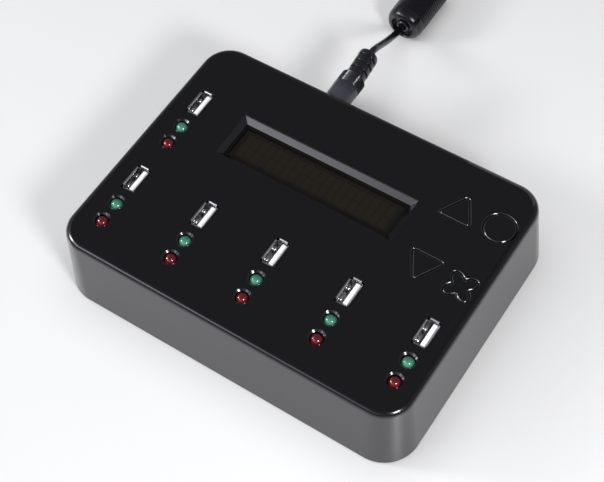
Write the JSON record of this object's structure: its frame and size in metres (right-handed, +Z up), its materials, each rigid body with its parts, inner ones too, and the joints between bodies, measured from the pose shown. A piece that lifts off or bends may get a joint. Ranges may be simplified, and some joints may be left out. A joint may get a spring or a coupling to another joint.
{
  "type": "usb flash drive duplicator",
  "caption": "Desktop copier for flash drives: a source socket, a row of copy sockets with status lamps, a display, travelling keys and a powered lead with its adapter.",
  "frame": {"origin": "on the table under the middle of the body, measured without the lead and what is on it", "axes": "+X along the row of copy sockets in the reading direction of the display, +Y away from the user towards the power plug, +Z up"},
  "size_m": [0.2444, 0.3087, 0.0373],
  "materials": {
    "shell": "black ABS, satin with a faint mould texture",
    "cover": "black ABS, matt",
    "foot": "black, matt",
    "screw": "zinc plated",
    "board": "glass fibre board with green solder resist",
    "chip": "moulded epoxy",
    "nickel": "nickel-plated sheet",
    "insulator": "white, smooth",
    "green_lamp": "tinted diffused resin, unlit",
    "red_lamp": "tinted diffused resin, unlit",
    "key": "black ABS, satin",
    "plunger": "off-white, smooth",
    "switch": "black, matt",
    "bezel": "black painted steel sheet",
    "display": "dark display face, switched off, smooth",
    "jack": "black nylon",
    "plug": "black soft PVC moulding",
    "ferrite": "black nylon case, satin",
    "lead": "black PVC jacket, satin",
    "adapter": "black, fine texture"
  },
  "bodies": {
    "housing": {"top_shell": "shell", "bottom_cover": "cover", "foot_1": "foot", "foot_2": "foot", "foot_3": "foot", "foot_4": "foot", "cover_screw_1": "screw", "cover_screw_2": "screw", "cover_screw_3": "screw", "cover_screw_4": "screw", "main_board": "board", "controller_chip": "chip", "usb_shell_source": "nickel", "usb_shell_copy_1": "nickel", "usb_shell_copy_2": "nickel", "usb_shell_copy_3": "nickel", "usb_shell_copy_4": "nickel", "usb_shell_copy_5": "nickel", "usb_tongue_source": "insulator", "usb_tongue_copy_1": "insulator", "usb_tongue_copy_2": "insulator", "usb_tongue_copy_3": "insulator", "usb_tongue_copy_4": "insulator", "usb_tongue_copy_5": "insulator", "green_lamp_source": "green_lamp", "green_lamp_copy_1": "green_lamp", "green_lamp_copy_2": "green_lamp", "green_lamp_copy_3": "green_lamp", "green_lamp_copy_4": "green_lamp", "green_lamp_copy_5": "green_lamp", "red_lamp_source": "red_lamp", "red_lamp_copy_1": "red_lamp", "red_lamp_copy_2": "red_lamp", "red_lamp_copy_3": "red_lamp", "red_lamp_copy_4": "red_lamp", "red_lamp_copy_5": "red_lamp", "up_switch": "switch", "down_switch": "switch", "round_switch": "switch", "cross_switch": "switch", "display_bezel": "bezel", "display_glass": "display", "display_backlight": "insulator", "display_board": "board", "display_header": "switch", "power_jack": "jack", "power_plug": "plug", "ferrite_core": "ferrite", "lead": "lead", "lead_coil": "lead", "lead_tail": "lead", "power_adapter": "adapter"},
    "up_key": {"up_key": "key", "up_plunger": "plunger"},
    "down_key": {"down_key": "key", "down_plunger": "plunger"},
    "round_key": {"round_key": "key", "round_plunger": "plunger"},
    "cross_key": {"cross_key": "key", "cross_plunger": "plunger"}
  },
  "joints": [
    {"name": "up_key_press", "type": "slide", "parent": "housing", "child": "up_key", "axis": [0, 0, -1], "range_m": [0, 0.0005], "stiffness_N_per_m": 900},
    {"name": "down_key_press", "type": "slide", "parent": "housing", "child": "down_key", "axis": [0, 0, -1], "range_m": [0, 0.0005], "stiffness_N_per_m": 900},
    {"name": "round_key_press", "type": "slide", "parent": "housing", "child": "round_key", "axis": [0, 0, -1], "range_m": [0, 0.0005], "stiffness_N_per_m": 900},
    {"name": "cross_key_press", "type": "slide", "parent": "housing", "child": "cross_key", "axis": [0, 0, -1], "range_m": [0, 0.0005], "stiffness_N_per_m": 900}
  ]
}
